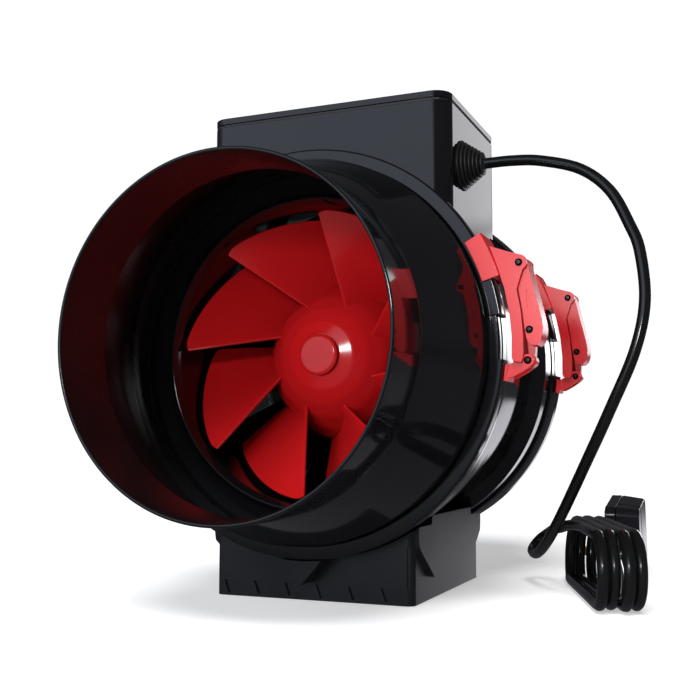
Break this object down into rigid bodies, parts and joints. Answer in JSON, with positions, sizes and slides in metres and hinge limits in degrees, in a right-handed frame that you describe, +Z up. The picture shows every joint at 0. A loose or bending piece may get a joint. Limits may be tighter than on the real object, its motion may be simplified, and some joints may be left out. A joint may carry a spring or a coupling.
{
  "type": "inline duct fan",
  "caption": "Mixed-flow inline duct fan with round inlet and outlet spigots, toggle-latched clamping bands, a side terminal box, a stand and a coiled mains lead with plug.",
  "frame": {"origin": "middle of the stand's underside", "axes": "+Y along the air flow from inlet to outlet, +Z up towards the terminal box, +X towards the latches and the mains lead"},
  "size_m": [0.332, 0.391, 0.3207],
  "materials": {
    "body": "high gloss black ABS, faint grey reflections",
    "impeller_red": "semi-gloss red moulded plastic",
    "latch_red": "bright red moulded plastic",
    "rubber": "matte black rubber",
    "lead": "black cable jacket with a soft sheen",
    "screw_black": "black oxide screws and pins",
    "steel": "bright machined steel",
    "motor": "cast and turned aluminium",
    "copper": "varnished copper winding",
    "brass": "polished brass plug pins",
    "plug": "black moulded plug body",
    "terminal_white": "off-white terminal block",
    "capacitor": "grey capacitor case"
  },
  "bodies": {
    "fan_body": {"inlet_spigot": "body", "outlet_spigot": "body", "centre_casing": "body", "inlet_nozzle": "body", "stator_vanes": "body", "tail_cone": "body", "front_clamp_band": "body", "rear_clamp_band": "body", "terminal_box": "body", "box_cover": "body", "mounting_base": "body", "front_latch_saddle": "latch_red", "front_latch_catch": "latch_red", "front_lever_pin": "screw_black", "front_anchor_pin": "screw_black", "rear_latch_saddle": "latch_red", "rear_latch_catch": "latch_red", "rear_lever_pin": "screw_black", "rear_anchor_pin": "screw_black", "inlet_seal": "rubber", "outlet_seal": "rubber", "box_gasket": "rubber", "cable_grommet": "rubber", "motor_cable": "rubber", "mains_lead": "lead", "lead_hank": "lead", "plug_lead": "lead", "plug_strain_relief": "lead", "cover_screw_1": "screw_black", "cover_screw_2": "screw_black", "cover_screw_3": "screw_black", "cover_screw_4": "screw_black", "front_bearing": "steel", "rear_bearing": "steel", "base_screw_front": "steel", "base_screw_rear": "steel", "motor_housing": "motor", "motor_winding": "copper", "plug_earth_pin": "brass", "plug_live_pin": "brass", "plug_neutral_pin": "brass", "plug_base": "plug", "plug_cover": "plug", "plug_fuse_cover": "plug", "terminal_block": "terminal_white", "run_capacitor": "capacitor"},
    "impeller_rotor": {"impeller": "impeller_red", "impeller_cap": "impeller_red", "shaft_nut": "steel", "motor_shaft": "steel", "motor_rotor": "steel"},
    "front_lever": {"front_latch_lever": "latch_red", "front_link_pin": "screw_black"},
    "front_link": {"front_latch_link": "latch_red"},
    "rear_lever": {"rear_latch_lever": "latch_red", "rear_link_pin": "screw_black"},
    "rear_link": {"rear_latch_link": "latch_red"}
  },
  "joints": [
    {"name": "impeller_spin", "type": "hinge", "parent": "fan_body", "child": "impeller_rotor", "pos_m": [0, 0, 0.1536], "axis": [0, -1, 0], "continuous": true},
    {"name": "front_lever_hinge", "type": "hinge", "parent": "fan_body", "child": "front_lever", "pos_m": [0.13679, -0.0775, 0.20017], "axis": [0, -1, 0], "range_deg": [0, 100]},
    {"name": "front_link_hinge", "type": "hinge", "parent": "front_lever", "child": "front_link", "pos_m": [0.14178, -0.0775, 0.16153], "axis": [0, -1, 0], "range_deg": [-80, 0]},
    {"name": "rear_lever_hinge", "type": "hinge", "parent": "fan_body", "child": "rear_lever", "pos_m": [0.13679, 0.0775, 0.20017], "axis": [0, -1, 0], "range_deg": [0, 100]},
    {"name": "rear_link_hinge", "type": "hinge", "parent": "rear_lever", "child": "rear_link", "pos_m": [0.14178, 0.0775, 0.16153], "axis": [0, -1, 0], "range_deg": [-80, 0]}
  ],
  "couplings": [
    {"joint": "front_link_hinge", "follows": "front_lever_hinge", "ratio": -0.8},
    {"joint": "rear_link_hinge", "follows": "rear_lever_hinge", "ratio": -0.8}
  ]
}
